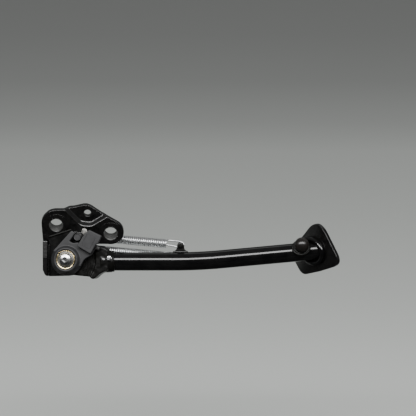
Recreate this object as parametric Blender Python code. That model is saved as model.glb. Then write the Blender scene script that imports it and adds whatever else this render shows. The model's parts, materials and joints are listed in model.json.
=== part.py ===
"""Motorcycle side stand (kickstand), folded up on its bracket.

World frame: +X runs along the folded leg, away from the pivot, +Y points into
the motorcycle and +Z is up. The origin lies midway between the two bracket
bolts, on the plane where the spacer bushes meet the motorcycle.
Every length below is in millimetres; mm() turns it into metres.
"""

import math

import bmesh
import bpy
from mathutils import Matrix, Vector

# Bracket, in its own frame: x to the right, y up, z outward from the mounting plane
PLATE_BACK = 9.0
PLATE_FRONT = 15.0
TAB_SETBACK = 5.0
BOLT_HOLES = [(-29.3, 4.95), (29.3, -4.95)]
BOLT_HOLE_R = 7.0
BUSH_R = 9.0
TAB_HOLE = (4.4, 16.9)
TAB_HOLE_R = 3.8

# Pivot: its place in the world, and how its axis leans
PIVOT = (-15.6, -25.6, -31.1)
PIVOT_LIFT = math.radians(25.15)
PIVOT_SKEW = math.radians(8.63)
LUG_HALF = 3.0
CHEEK_IN = 3.3
CHEEK_OUT = 9.8
YOKE_FRONT = 11.2
HEEL_R = 16.0
BOLT_SHANK_R = 6.0
THREAD_R = 5.0

# Switch, stacked outward from the yoke's outer cheek
SWITCH_BASE = 11.7
SWITCH_TOP = 21.8
SWITCH_BASE_R = 17.0
SWITCH_TOP_R = 13.4
PEG = (12.3, 24.2)
PEG_R = 3.9

# Leg, in its own frame: x along the folded leg, y up, z outward
TUBE_R = 10.0
TUBE_START = Vector((40.5, -1.94, 6.0))
TUBE_BEND = Vector((139.0, -1.94, 6.0))
TUBE_END = Vector((280.0, 11.0, 6.0))
BEND_HALF = 26.0
FOOT_CENTRE = Vector((264.6, 9.6, 6.0))
FOOT_NORMAL = Vector((-0.74, -0.2, 0.64)).normalized()
FOOT_T = 4.0
FOOT_SLOPE = 0.755
WELD_R = 2.6

# Springs: wire, coil and the points they hook onto, in the leg's frame
WIRE_R = 0.9
COIL_R = 4.0
COIL_PITCH = 2.15
UPPER_ANCHOR = Vector((-11.2, 27.4, -22.4))
UPPER_POST = Vector((120.2, 15.6, -9.5))
UPPER_COIL = (62.0, 116.5)
LOWER_ANCHOR = Vector((-11.2, 14.5, -22.4))
LOWER_POST = Vector((117.4, 2.4, -9.5))
LOWER_COIL = (50.5, 112.0)

GAP = 0.3
ROUND = 32


def mm(value):
    """Millimetres to metres."""
    return value * 0.001


def flat(x, y):
    """A point of an outline, in metres."""
    return Vector((mm(x), mm(y), 0.0))


def frame_at(origin, x_axis, z_axis):
    """A frame from an origin in metres and two directions."""
    z = Vector(z_axis).normalized()
    y = z.cross(Vector(x_axis)).normalized()
    x = y.cross(z)
    return Matrix.Translation(origin) @ Matrix((x, y, z)).transposed().to_4x4()


BRACKET = Matrix.Rotation(math.radians(90.0), 4, "X")
LEG = (Matrix.Translation(Vector(PIVOT) * 0.001)
       @ Matrix.Rotation(math.radians(90.0) - PIVOT_LIFT, 4, "X"))
PIVOT_FRAME = LEG @ Matrix.Rotation(-PIVOT_SKEW, 4, "Y")
FOOT = LEG @ frame_at(FOOT_CENTRE * 0.001, (1.0, 0.0, 0.0), FOOT_NORMAL)


# ------------------------------------------------------------------ materials

def material(name, colour, roughness, metallic):
    """A Principled material, made once for each name."""
    found = bpy.data.materials.get(name)
    if found:
        return found
    made = bpy.data.materials.new(name)
    made.use_nodes = True
    shader = made.node_tree.nodes["Principled BSDF"]
    shader.inputs["Base Color"].default_value = (*colour, 1.0)
    shader.inputs["Roughness"].default_value = roughness
    shader.inputs["Metallic"].default_value = metallic
    return made


def gloss_black():
    return material("gloss_black_paint", (0.012, 0.012, 0.013), 0.22, 0.0)


def cast_black():
    return material("cast_black_paint", (0.02, 0.02, 0.018), 0.5, 0.0)


def switch_plastic():
    return material("switch_plastic", (0.06, 0.06, 0.063), 0.6, 0.0)


def bright_zinc():
    return material("bright_zinc", (0.75, 0.76, 0.78), 0.28, 1.0)


def yellow_zinc():
    return material("yellow_zinc", (0.7, 0.55, 0.28), 0.3, 1.0)


def bare_steel():
    return material("bare_steel", (0.45, 0.45, 0.46), 0.35, 1.0)


def bronze():
    return material("bush_bronze", (0.5, 0.33, 0.16), 0.4, 1.0)


def rubber():
    return material("rubber", (0.02, 0.02, 0.02), 0.8, 0.0)


# -------------------------------------------------------------- mesh building

def add(name, bm, frame, finish, parent=None):
    """Turn a bmesh, in the local metres of frame, into a named object."""
    bmesh.ops.remove_doubles(bm, verts=bm.verts, dist=1e-6)
    bmesh.ops.recalc_face_normals(bm, faces=bm.faces)
    mesh = bpy.data.meshes.new(name)
    bm.to_mesh(mesh)
    bm.free()
    mesh.shade_smooth()
    mesh.set_sharp_from_angle(angle=math.radians(35.0))
    mesh.materials.append(finish)
    made = bpy.data.objects.new(name, mesh)
    bpy.context.scene.collection.objects.link(made)
    if parent:
        made.parent = parent
        made.matrix_parent_inverse = parent.matrix_world.inverted()
    made.matrix_basis = frame
    return made


def pivot_empty(name, frame):
    """An empty that stands on a joint's axis, its Z along the axis."""
    made = bpy.data.objects.new(name, None)
    made.matrix_world = frame
    bpy.context.scene.collection.objects.link(made)
    bpy.context.view_layer.update()
    return made


def ring(radius, height, sides):
    """Points of a circle at a height."""
    return [Vector((radius * math.cos(math.tau * i / sides),
                    radius * math.sin(math.tau * i / sides), height)) for i in range(sides)]


def rounded(corners, steps=4):
    """An outline in metres from corners given as (x, y, radius) in millimetres."""
    points = []
    for i, (x, y, radius) in enumerate(corners):
        here = flat(x, y)
        before = flat(*corners[i - 1][:2]) - here
        after = flat(*corners[(i + 1) % len(corners)][:2]) - here
        if radius <= 0.0:
            points.append(here)
            continue
        half = before.angle(after) / 2.0
        reach = mm(radius) / math.tan(half)
        centre = here + (before.normalized() + after.normalized()).normalized() * (
            mm(radius) / math.sin(half))
        start = here + before.normalized() * reach - centre
        turn = start.angle(here + after.normalized() * reach - centre)
        side = 1.0 if before.cross(after).z < 0.0 else -1.0
        for k in range(steps + 1):
            points.append(centre + Matrix.Rotation(side * turn * k / steps, 3, "Z") @ start)
    return points


def arc(x, y, radius, first, last, steps):
    """Corners of an arc, for mixing with other corners."""
    angles = [math.radians(first + (last - first) * k / steps) for k in range(steps + 1)]
    return [(x + radius * math.cos(a), y + radius * math.sin(a), 0.0) for a in angles]


def slab(points, low, high):
    """A flat slab with an outline, between two heights in millimetres."""
    bm = bmesh.new()
    face = bm.faces.new([bm.verts.new((p.x, p.y, mm(low))) for p in points])
    top = bmesh.ops.extrude_face_region(bm, geom=[face])["geom"]
    moved = [v for v in top if isinstance(v, bmesh.types.BMVert)]
    bmesh.ops.translate(bm, verts=moved, vec=(0.0, 0.0, mm(high - low)))
    bmesh.ops.recalc_face_normals(bm, faces=bm.faces)
    return bm


def turned(profile, sides=ROUND):
    """A body turned about local Z from a closed profile of (radius, height) in mm.

    A point of radius zero becomes one point on the axis.
    """
    bm = bmesh.new()
    rows = []
    for radius, height in profile:
        if radius <= 0.0:
            rows.append([bm.verts.new((0.0, 0.0, mm(height)))] * sides)
        else:
            rows.append([bm.verts.new(p) for p in ring(mm(radius), mm(height), sides)])
    closed = profile[0][0] > 0.0
    for i in range(len(rows) if closed else len(rows) - 1):
        near, far = rows[i], rows[(i + 1) % len(rows)]
        for k in range(sides):
            loop = [near[k], near[(k + 1) % sides], far[(k + 1) % sides], far[k]]
            bm.faces.new(list(dict.fromkeys(loop)))
    bmesh.ops.recalc_face_normals(bm, faces=bm.faces)
    return bm


def cylinder(radius, low, high, sides=ROUND):
    """A plain cylinder along local Z."""
    return turned([(0.0, low), (radius, low), (radius, high), (0.0, high)], sides)


def swept(points, radius, sides=10):
    """A round bar along points in metres, its ends filled."""
    bm = bmesh.new()
    rows = []
    side = None
    for i, point in enumerate(points):
        ahead = (points[min(i + 1, len(points) - 1)] - points[max(i - 1, 0)]).normalized()
        if side is None:
            side = ahead.orthogonal()
        side = (side - ahead * side.dot(ahead)).normalized()
        up = ahead.cross(side)
        rows.append([bm.verts.new(point + (side * math.cos(math.tau * k / sides)
                                           + up * math.sin(math.tau * k / sides)) * mm(radius))
                     for k in range(sides)])
    for near, far in zip(rows, rows[1:]):
        for k in range(sides):
            bm.faces.new([near[k], near[(k + 1) % sides], far[(k + 1) % sides], far[k]])
    bm.faces.new(rows[0])
    bm.faces.new(rows[-1])
    bmesh.ops.recalc_face_normals(bm, faces=bm.faces)
    return bm


def trim(bm, point, normal):
    """Cut away all that lies beyond a plane, and close the cut."""
    everything = list(bm.verts) + list(bm.edges) + list(bm.faces)
    cut = bmesh.ops.bisect_plane(bm, geom=everything, plane_co=point, plane_no=normal,
                                 clear_outer=True)
    edges = [e for e in cut["geom_cut"] if isinstance(e, bmesh.types.BMEdge)]
    bmesh.ops.holes_fill(bm, edges=edges, sides=0)
    return bm


def placed(bm, matrix):
    """Move a bmesh by a matrix."""
    bmesh.ops.transform(bm, matrix=matrix, verts=bm.verts)
    return bm


def combine(target, tool, operation):
    """Join a tool to an object, or cut it away, and drop the tool."""
    modifier = target.modifiers.new(operation.lower(), "BOOLEAN")
    modifier.operation = operation
    modifier.solver = "EXACT"
    modifier.object = tool
    bpy.context.view_layer.update()
    graph = bpy.context.evaluated_depsgraph_get()
    result = bpy.data.meshes.new_from_object(target.evaluated_get(graph))
    target.modifiers.clear()
    old = target.data
    target.data = result
    result.name = old.name
    bpy.data.meshes.remove(old)
    bpy.data.objects.remove(tool)
    return target


def cut_away(target, bm, frame):
    """Cut a bmesh, given in its own frame, out of an object."""
    return combine(target, add(target.name + "_cutter", bm, frame, target.data.materials[0]),
                   "DIFFERENCE")


def join_on(target, bm, frame):
    """Join a bmesh, given in its own frame, to an object."""
    return combine(target, add(target.name + "_joined", bm, frame, target.data.materials[0]),
                   "UNION")


# -------------------------------------------------------------------- bracket

def bracket_plate():
    """The mounting plate, with its upper tab set back between two folds."""
    left = rounded([(-20.5, 22.9, 0), (-35.8, 22.5, 14), (-45.6, 12.0, 14), (-44.2, -9.5, 0),
                    (-43.2, -23.5, 0), (-35.0, -23.5, 0), (-32.0, -16.2, 0), (-3.5, -16.2, 0),
                    (-3.5, 4.0, 0)])
    right = rounded([(-3.5, -16.2, 0), (14.0, -17.6, 0)] + arc(29.6, -4.0, 13.9, -95, 55, 9)
                    + [(26.5, 14.2, 0), (8.5, 2.6, 0), (-3.5, 4.0, 0)])
    tab_inner = [(-15.0, 22.5), (-1.5, 8.5), (6.5, 7.6), (20.5, 15.7)]
    outer_folds = [(-20.5, 22.9), (-3.5, 4.0), (8.5, 2.6), (26.5, 14.2)]
    tab_top = [(13.6, 20.8), (8.4, 24.5), (5.0, 26.1), (0.4, 26.2), (-10.1, 23.7)]
    bm = bmesh.new()

    def vertex(x, y, back):
        return bm.verts.new((mm(x), mm(y), mm(PLATE_BACK - (TAB_SETBACK if back else 0.0))))

    for outline in (left, right):
        bm.faces.new([vertex(p.x * 1000.0, p.y * 1000.0, False) for p in outline])
    bm.faces.new([vertex(x, y, True) for x, y in tab_inner + tab_top])
    for i in range(3):
        bm.faces.new([vertex(*outer_folds[i], False), vertex(*outer_folds[i + 1], False),
                      vertex(*tab_inner[i + 1], True), vertex(*tab_inner[i], True)])
    bmesh.ops.remove_doubles(bm, verts=bm.verts, dist=1e-5)
    bmesh.ops.recalc_face_normals(bm, faces=bm.faces)
    skin = bmesh.ops.extrude_face_region(bm, geom=list(bm.faces))["geom"]
    moved = [v for v in skin if isinstance(v, bmesh.types.BMVert)]
    bmesh.ops.translate(bm, verts=moved, vec=(0.0, 0.0, mm(PLATE_FRONT - PLATE_BACK)))
    plate = add("bracket_plate", bm, BRACKET, gloss_black())
    for x, y in BOLT_HOLES:
        hole = BRACKET @ Matrix.Translation((mm(x), mm(y), 0.0))
        cut_away(plate, cylinder(BOLT_HOLE_R, 5.0, 20.0), hole)
    small = BRACKET @ Matrix.Translation((mm(TAB_HOLE[0]), mm(TAB_HOLE[1]), 0.0))
    cut_away(plate, cylinder(TAB_HOLE_R, 0.0, 20.0, 24), small)


def spacer_bushes():
    """The two bushes welded behind the bolt holes."""
    for name, (x, y) in zip(("left_spacer_bush", "right_spacer_bush"), BOLT_HOLES):
        place = BRACKET @ Matrix.Translation((mm(x), mm(y), 0.0))
        profile = [(BOLT_HOLE_R, 0.0), (BUSH_R, 0.0), (BUSH_R, PLATE_BACK - GAP),
                   (BOLT_HOLE_R, PLATE_BACK - GAP)]
        add(name, turned(profile), place, bare_steel())


def pivot_lug():
    """The ear that the leg's fork straddles, square to the pivot's axis."""
    outline = rounded([(-21.7, -18.0, 0), (-2.0, -17.5, 0)] + arc(0.0, 0.0, 17.5, -90, 24, 9)
                      + [(19.5, 13.0, 0), (25.5, 15.5, 0), (25.5, 28.5, 3), (-1.0, 31.0, 0),
                         (-21.7, 31.0, 0)])
    bm = placed(slab(outline, -LUG_HALF, LUG_HALF), PIVOT_FRAME)
    trim(bm, Vector((0.0, mm(-PLATE_FRONT - GAP), 0.0)), Vector((0.0, 1.0, 0.0)))
    placed(bm, PIVOT_FRAME.inverted())
    lug = add("pivot_lug", bm, PIVOT_FRAME, gloss_black())
    cut_away(lug, cylinder(8.6, -5.0, 5.0), PIVOT_FRAME)


def side_flange():
    """The wall along the lug's left edge, which also stops the leg."""
    outline = rounded([(-27.0, -11.0, 2), (-24.6, -16.4, 3), (-22.0, -18.0, 0),
                       (-22.0, 20.0, 0), (-27.0, 20.0, 0)])
    bm = placed(slab(outline, -LUG_HALF, 11.0), PIVOT_FRAME)
    trim(bm, Vector((0.0, mm(-PLATE_FRONT - GAP), 0.0)), Vector((0.0, 1.0, 0.0)))
    placed(bm, PIVOT_FRAME.inverted())
    add("side_flange", bm, PIVOT_FRAME, gloss_black())


def locating_peg():
    """The peg on the lug that keeps the switch from turning."""
    place = PIVOT_FRAME @ Matrix.Translation((mm(PEG[0]), mm(PEG[1]), 0.0))
    profile = [(0.0, LUG_HALF + GAP), (PEG_R, LUG_HALF + GAP), (PEG_R, 18.9), (3.3, 19.5),
               (0.0, 19.5)]
    add("locating_peg", turned(profile, 24), place, cast_black())


def keeper_clip():
    """A small bare-metal tab beside the peg."""
    outline = rounded([(14.4, 29.6, 1), (17.0, 26.2, 1), (21.4, 27.4, 1.5), (20.4, 33.0, 1.5),
                       (15.8, 33.6, 1.5)], 3)
    add("keeper_clip", slab(outline, 4.6, 6.6), PIVOT_FRAME, bare_steel())


def fold_stop_pin():
    """The pin on which the folded leg's fork comes to rest."""
    place = PIVOT_FRAME @ Matrix.Translation((mm(22.0), mm(19.2), 0.0))
    add("fold_stop_pin", cylinder(2.8, LUG_HALF + GAP, 9.5, 20), place, cast_black())


def spring_anchor(name, anchor, bottom):
    """A grooved stud on the back of the bracket that a spring hooks onto."""
    local = PIVOT_FRAME.inverted() @ LEG @ (anchor * 0.001)
    place = PIVOT_FRAME @ Matrix.Translation((local.x, local.y, 0.0))
    hook = local.z * 1000.0
    profile = [(0.0, hook - 3.0), (3.4, hook - 3.0), (3.4, hook - 1.4), (2.2, hook - 1.2),
               (2.2, hook + 1.2), (2.5, hook + 1.6), (2.5, bottom), (0.0, bottom)]
    bm = placed(turned(profile, 20), place)
    if bottom > -LUG_HALF:
        trim(bm, Vector((0.0, mm(GAP - PLATE_BACK), 0.0)), Vector((0.0, -1.0, 0.0)))
    placed(bm, place.inverted())
    add(name, bm, place, cast_black())


# ---------------------------------------------------------------------- pivot

def pivot_fasteners():
    """Bolt, bush, washer and nut on the pivot's axis."""
    bolt = [(0.0, -18.5), (4.4, -18.5), (THREAD_R, -17.9), (THREAD_R, -9.9),
            (BOLT_SHANK_R, -9.9), (BOLT_SHANK_R, 10.2), (8.8, 10.2), (8.8, 14.4), (8.2, 15.0),
            (4.4, 15.0), (4.4, 4.0), (0.0, 4.0)]
    add("pivot_bolt", turned(bolt), PIVOT_FRAME, bare_steel())
    bush = [(BOLT_SHANK_R + GAP, -LUG_HALF), (8.3, -LUG_HALF), (8.3, LUG_HALF),
            (BOLT_SHANK_R + GAP, LUG_HALF)]
    add("pivot_bush", turned(bush), PIVOT_FRAME, bronze())
    washer = [(5.4, -11.4), (10.5, -11.4), (10.5, -10.2), (5.4, -10.2)]
    add("pivot_washer", turned(washer), PIVOT_FRAME, bright_zinc())
    flats = [flat(*p[:2]) for p in arc(0.0, 0.0, 9.8, 0, 300, 5)]
    nut = add("pivot_nut", slab(flats, -17.4, -11.7), PIVOT_FRAME, bright_zinc())
    cut_away(nut, cylinder(THREAD_R + GAP, -20.0, -10.0), PIVOT_FRAME)


# --------------------------------------------------------------------- switch

def switch_housing():
    """The switch's moulded cover, with the prong that straddles the peg."""
    body = [(13.1, SWITCH_BASE), (SWITCH_BASE_R, SWITCH_BASE), (SWITCH_BASE_R, 14.6),
            (15.2, 17.0), (SWITCH_TOP_R, 20.6), (SWITCH_TOP_R - 1.0, SWITCH_TOP),
            (10.5, SWITCH_TOP), (10.5, 20.3), (4.5, 20.3), (4.5, 15.8), (13.1, 15.8)]
    housing = add("switch_housing", turned(body), PIVOT_FRAME, switch_plastic())
    base = rounded([(-14.8, 9.0, 0), (5.7, 31.5, 1.5), (9.7, 28.6, 1), (3.4, 19.9, 0),
                    (7.0, 17.9, 3), (13.0, 18.6, 2), (30.0, 9.5, 0), (27.2, 4.6, 0),
                    (19.4, 0.6, 10), (15.4, -7.4, 0)] + arc(0.0, 0.0, 14.3, -27, 144, 12))
    join_on(housing, slab(base, 12.4, 17.4), PIVOT_FRAME)


def switch_connector():
    """The block beside the cover that holds the contacts and the cable."""
    outline = rounded([(12.6, 14.6, 1), (27.3, 6.3, 1), (33.6, 17.0, 0), (35.0, 16.6, 0),
                       (39.4, 25.6, 1.2), (25.6, 32.2, 1.2), (18.6, 24.6, 0)])
    add("switch_connector", slab(outline, 17.7, 23.0), PIVOT_FRAME, switch_plastic())


def cable_gland():
    """The rubber sleeve where the switch's cable would come out."""
    start = Vector((mm(29.4), mm(15.2), mm(15.1)))
    place = PIVOT_FRAME @ frame_at(start, (0.0, 0.0, 1.0), (0.87, -0.49, 0.0))
    profile = [(0.0, 0.0), (2.4, 0.0), (2.4, 2.6), (2.0, 2.8), (2.0, 3.8), (2.4, 4.0),
               (2.2, 7.2), (1.4, 7.2), (1.4, 3.0), (0.0, 3.0)]
    add("cable_gland", turned(profile, 16), place, rubber())


def switch_small_parts():
    """Seal, rotor, gold ring and screw, stacked about the pivot's axis."""
    seal = [(13.4, 10.2), (16.2, 10.2), (16.2, 11.4), (13.4, 11.4)]
    add("switch_seal", turned(seal), PIVOT_FRAME, rubber())
    gold = [(4.6, 20.6), (10.2, 20.6), (10.2, 22.0), (9.4, 22.4), (4.6, 22.4)]
    add("retaining_ring", turned(gold), PIVOT_FRAME, yellow_zinc())
    screw = [(0.0, 5.0), (4.1, 5.0), (4.1, 22.7), (7.3, 22.7), (7.2, 23.9), (6.4, 25.3),
             (4.9, 26.2), (2.6, 26.6), (2.6, 23.8), (0.0, 23.8)]
    add("switch_screw", turned(screw), PIVOT_FRAME, bright_zinc())


# ------------------------------------------------------------------------ leg

def tube_route():
    """Centre line of the tube: two straights joined by a wide bend, in the leg's frame."""
    first = (TUBE_BEND - TUBE_START).normalized()
    second = (TUBE_END - TUBE_BEND).normalized()
    begin = TUBE_BEND - first * BEND_HALF
    finish = TUBE_BEND + second * BEND_HALF
    points = [TUBE_START]
    for k in range(9):
        t = k / 8.0
        points.append(begin * (1 - t) ** 2 + TUBE_BEND * 2 * t * (1 - t) + finish * t ** 2)
    points.append(TUBE_END)
    return [p * 0.001 for p in points]


def leg_yoke(pivot):
    """The forged fork that straddles the lug and holds the tube."""
    outline = rounded([(0.0, -HEEL_R, 0), (24.0, -18.4, 2), (27.2, -21.0, 1.6), (30.2, -20.0, 2),
                         (35.5, -15.2, 0), (41.0, -12.6, 0), (44.0, -11.6, 0), (44.0, 9.8, 0),
                         (41.0, 13.0, 2), (31.0, 13.9, 0), (14.0, 15.6, 0)]
                      + arc(0.0, 0.0, HEEL_R, 90, 240, 12))
    yoke = add("leg_yoke", slab(outline, -CHEEK_OUT, YOKE_FRONT), PIVOT_FRAME, cast_black(), pivot)
    tube_end = LEG @ frame_at(TUBE_START * 0.001, (0.0, 1.0, 0.0), (1.0, 0.0, 0.0))
    join_on(yoke, turned([(0.0, -6.0), (11.9, -6.0), (11.9, 5.5), (11.0, 7.5), (0.0, 7.5)]),
            tube_end)
    cut_away(yoke, cylinder(TUBE_R + GAP, 0.0, 20.0), tube_end)
    cut_away(yoke, turned([(0.0, CHEEK_OUT), (31.0, CHEEK_OUT), (31.0, 20.0), (0.0, 20.0)], 48),
             PIVOT_FRAME)
    slot = rounded([(-20.0, -25.0, 0), (20.0, -25.0, 0), (23.5, -12.0, 3), (23.5, 9.0, 3),
                    (28.0, 12.6, 0), (28.0, 25.0, 0), (-20.0, 25.0, 0)])
    cut_away(yoke, slab(slot, -CHEEK_IN, CHEEK_IN), PIVOT_FRAME)
    cut_away(yoke, cylinder(BOLT_SHANK_R + GAP, -20.0, 20.0), PIVOT_FRAME)


def switch_rotor(pivot):
    """The ring inside the switch that turns with the leg."""
    profile = [(9.2, 10.2), (12.6, 10.2), (12.6, 15.2), (9.2, 15.2)]
    add("switch_rotor", turned(profile), PIVOT_FRAME, switch_plastic(), pivot)


def leg_tube(pivot):
    """The bent tube, cut to the slope of the foot plate."""
    tube = placed(swept(tube_route(), TUBE_R, ROUND), LEG)
    trim(tube, FOOT @ Vector((0.0, 0.0, mm(GAP))), -(FOOT.to_3x3() @ Vector((0.0, 0.0, 1.0))))
    add("leg_tube", placed(tube, LEG.inverted()), LEG, gloss_black(), pivot)


def grease_nipple(pivot):
    """The hexagonal nipple on the yoke's collar, and the plug beside it."""
    place = LEG @ Matrix.Translation((mm(43.5), mm(1.2), 0.0))
    flats = [flat(*p[:2]) for p in arc(0.0, 0.0, 3.1, 0, 300, 5)]
    nipple = add("grease_nipple", slab(flats, 18.3, 20.6), place, bright_zinc(), pivot)
    head = [(0.0, 20.0), (1.9, 20.0), (1.5, 22.2), (1.9, 22.8), (1.3, 23.4), (0.0, 23.4)]
    join_on(nipple, turned(head, 16), place)
    spot = LEG @ Matrix.Translation((mm(37.6), mm(0.0), 0.0))
    add("yoke_plug", turned([(0.0, 18.3), (1.4, 18.3), (1.1, 19.2), (0.0, 19.5)], 12), spot,
        bright_zinc(), pivot)


def spring_posts(pivot):
    """The plate and pin that hold the upper spring, and the stud for the lower one."""
    x, y = UPPER_POST.x, UPPER_POST.y
    outline = rounded([(x - 7.4, 8.4, 0), (x + 7.4, 8.4, 0), (x + 4.4, 11.4, 2)]
                      + arc(x, y, 3.5, 0, 180, 8) + [(x - 4.4, 11.4, 2)])
    plate = add("spring_hook_plate", slab(outline, 3.6, 8.0), LEG, cast_black(), pivot)
    place = LEG @ Matrix.Translation((mm(x), mm(y), 0.0))
    cut_away(plate, cylinder(2.1, 0.0, 12.0, 20), place)
    pin = [(0.0, -12.5), (3.2, -12.5), (3.2, -10.9), (1.8, -10.7), (1.8, 8.3), (3.2, 8.3),
           (3.2, 9.8), (2.6, 10.4), (0.0, 10.4)]
    add("upper_spring_pin", turned(pin, 20), place, cast_black(), pivot)
    low = LEG @ Matrix.Translation((mm(LOWER_POST.x), mm(LOWER_POST.y), 0.0))
    stud = [(0.0, -12.5), (3.2, -12.5), (3.2, -10.9), (1.8, -10.7), (1.8, -8.0), (2.6, -7.6),
            (2.6, -4.5), (0.0, -4.5)]
    add("lower_spring_stud", turned(stud, 20), low, cast_black(), pivot)


def foot(pivot):
    """The foot plate and the weld that joins it to the tube."""
    outline = rounded([(-19.8, -32.4, 12), (8.0, -21.5, 40), (41.0, -6.2, 11), (3.6, 38.6, 18),
                       (-38.8, -10.9, 10)], 6)
    add("foot_plate", slab(outline, -FOOT_T, 0.0), FOOT, gloss_black(), pivot)
    lean = FOOT.to_3x3().inverted() @ LEG.to_3x3() @ (TUBE_BEND - TUBE_END)
    lean = lean / lean.z
    bm = bmesh.new()
    rows = []
    for around in ring(1.0, 0.0, 32):
        row = []
        for across in ring(WELD_R, 0.0, 8):
            out = WELD_R + 0.6 + across.x
            height = mm(WELD_R + GAP + across.y)
            row.append(bm.verts.new((mm((TUBE_R / FOOT_SLOPE + out) * around.x) + lean.x * height,
                                     mm((TUBE_R + out) * around.y) + lean.y * height, height)))
        rows.append(row)
    for near, far in zip(rows, rows[1:] + rows[:1]):
        for j in range(8):
            bm.faces.new([near[j], near[(j + 1) % 8], far[(j + 1) % 8], far[j]])
    add("foot_weld", bm, FOOT, gloss_black(), pivot)


def kick_knob(pivot):
    """The ball on a ribbed collar near the foot, pushed to swing the leg out."""
    base = Vector((251.5, 8.4, 6.0)) * 0.001
    place = LEG @ frame_at(base, (1.0, 0.0, 0.0), (-0.0413, 0.45, 0.892))
    collar = [(0.0, 10.6), (9.2, 10.6), (9.6, 11.2), (9.0, 11.9), (8.2, 12.1), (8.0, 12.9),
              (0.0, 12.9)]
    bm = turned(collar, 24)
    add("knob_collar", bm, place, cast_black(), pivot)
    ball = [(0.0, 13.3), (4.2, 13.3)]
    for k in range(8):
        angle = math.radians(-29.0 + 119.0 * k / 7.0)
        ball.append((8.0 * math.cos(angle) if k < 7 else 0.0, 17.2 + 8.0 * math.sin(angle)))
    add("kick_knob", turned(ball, 24), place, gloss_black(), pivot)


# -------------------------------------------------------------------- springs

def spring_frame(anchor, post):
    """A frame at a spring's anchor, its Z along the spring."""
    return LEG @ frame_at(anchor * 0.001, (0.0, 0.0, 1.0), post - anchor)


def hook_points(length, outward):
    """A hook's eye about the point at a length, and its shank, out to the coil."""
    eye = 3.6
    points = []
    for k in range(11):
        angle = math.radians(-150.0 + 290.0 * k / 10.0)
        points.append(Vector((0.0, -mm(eye * math.sin(angle)),
                              mm(length + outward * eye * math.cos(angle)))))
    return points


def coil_points(first, last):
    """Centre line of a coil of wire between two lengths along the spring."""
    turns = round((last - first) / COIL_PITCH)
    steps = turns * 8
    return [Vector((mm(COIL_R * math.cos(math.tau * k / 8.0)),
                    -mm(COIL_R * math.sin(math.tau * k / 8.0)),
                    mm(first + (last - first) * k / steps))) for k in range(steps + 1)]


def spring(name, anchor, post, coil, body, end_body):
    """One extension spring: its coil with the bracket's hook, and the leg's hook."""
    frame = spring_frame(anchor, post)
    length = (post - anchor).length
    near = hook_points(0.0, -1.0)
    near.append(Vector((0.0, -mm(COIL_R), mm(coil[0] - 3.0))))
    near.append(Vector((mm(COIL_R * 0.5), -mm(COIL_R * 0.5), mm(coil[0] - 1.4))))
    route = near + coil_points(*coil)
    add(name + "_coil", swept(route, WIRE_R, 5), frame, bright_zinc(), body)
    far = hook_points(length, 1.0)
    far.append(Vector((0.0, -mm(COIL_R), mm(coil[1] + 3.0))))
    far.append(Vector((mm(COIL_R * 0.8), -mm(COIL_R * 0.6), mm(coil[1] + 2.2))))
    add(name + "_end_hook", swept(far, WIRE_R, 6), frame, bright_zinc(), end_body)


def build():
    """Clear the scene and build every piece."""
    for old in list(bpy.data.objects):
        bpy.data.objects.remove(old, do_unlink=True)
    bracket_plate()
    spacer_bushes()
    pivot_lug()
    side_flange()
    locating_peg()
    keeper_clip()
    fold_stop_pin()
    spring_anchor("upper_spring_anchor", UPPER_ANCHOR, 4.0)
    spring_anchor("lower_spring_anchor", LOWER_ANCHOR, -LUG_HALF - GAP)
    pivot_fasteners()
    switch_housing()
    switch_connector()
    cable_gland()
    switch_small_parts()
    leg = pivot_empty("leg_pivot", PIVOT_FRAME)
    leg_yoke(leg)
    switch_rotor(leg)
    leg_tube(leg)
    grease_nipple(leg)
    spring_posts(leg)
    foot(leg)
    kick_knob(leg)
    for name, anchor, post, coil in (
            ("upper_spring", UPPER_ANCHOR, UPPER_POST, UPPER_COIL),
            ("lower_spring", LOWER_ANCHOR, LOWER_POST, LOWER_COIL)):
        place = Matrix.Translation((LEG @ (post * 0.001)) - PIVOT_FRAME.translation) @ PIVOT_FRAME
        end_body = pivot_empty(name + "_pivot", place)
        body = pivot_empty(name + "_slide", spring_frame(anchor, post))
        spring(name, anchor, post, coil, body, end_body)


build()
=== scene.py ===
"""Looks of the motorcycle side stand: fine meshes, materials, light and camera.

Lengths are in millimetres unless a comment says otherwise; mm() turns them into metres.
Frames: BRACKET has x right, y up and z outward from the mounting plane; PIVOT is at the
hinge with z along it; LEG is there too, with x along the folded leg; FOOT has z out of the
foot plate's upper face; KNOB has z along the kick knob.
"""

import json
import math

import bmesh
import bpy
from mathutils import Matrix, Vector, noise


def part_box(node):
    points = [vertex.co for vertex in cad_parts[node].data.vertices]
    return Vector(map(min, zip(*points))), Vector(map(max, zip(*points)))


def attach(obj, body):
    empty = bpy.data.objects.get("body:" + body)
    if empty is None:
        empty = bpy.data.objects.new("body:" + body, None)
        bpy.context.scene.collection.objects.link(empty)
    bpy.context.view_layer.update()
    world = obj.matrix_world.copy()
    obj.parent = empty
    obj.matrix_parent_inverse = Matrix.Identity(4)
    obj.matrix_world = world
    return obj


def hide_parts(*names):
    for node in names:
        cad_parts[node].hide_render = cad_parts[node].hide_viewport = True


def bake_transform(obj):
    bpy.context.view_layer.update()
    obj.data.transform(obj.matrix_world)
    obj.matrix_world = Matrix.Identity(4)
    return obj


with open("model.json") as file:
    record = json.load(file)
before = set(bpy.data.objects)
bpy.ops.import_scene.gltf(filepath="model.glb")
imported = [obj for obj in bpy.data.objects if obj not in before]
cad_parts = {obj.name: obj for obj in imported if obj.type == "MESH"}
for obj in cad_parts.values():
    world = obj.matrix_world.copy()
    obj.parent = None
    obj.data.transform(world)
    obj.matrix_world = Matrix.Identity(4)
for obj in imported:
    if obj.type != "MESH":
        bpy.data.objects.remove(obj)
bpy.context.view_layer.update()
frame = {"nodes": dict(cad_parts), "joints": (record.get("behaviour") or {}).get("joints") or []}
JOINTS = {joint["name"]: joint for joint in frame["joints"]}


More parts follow.
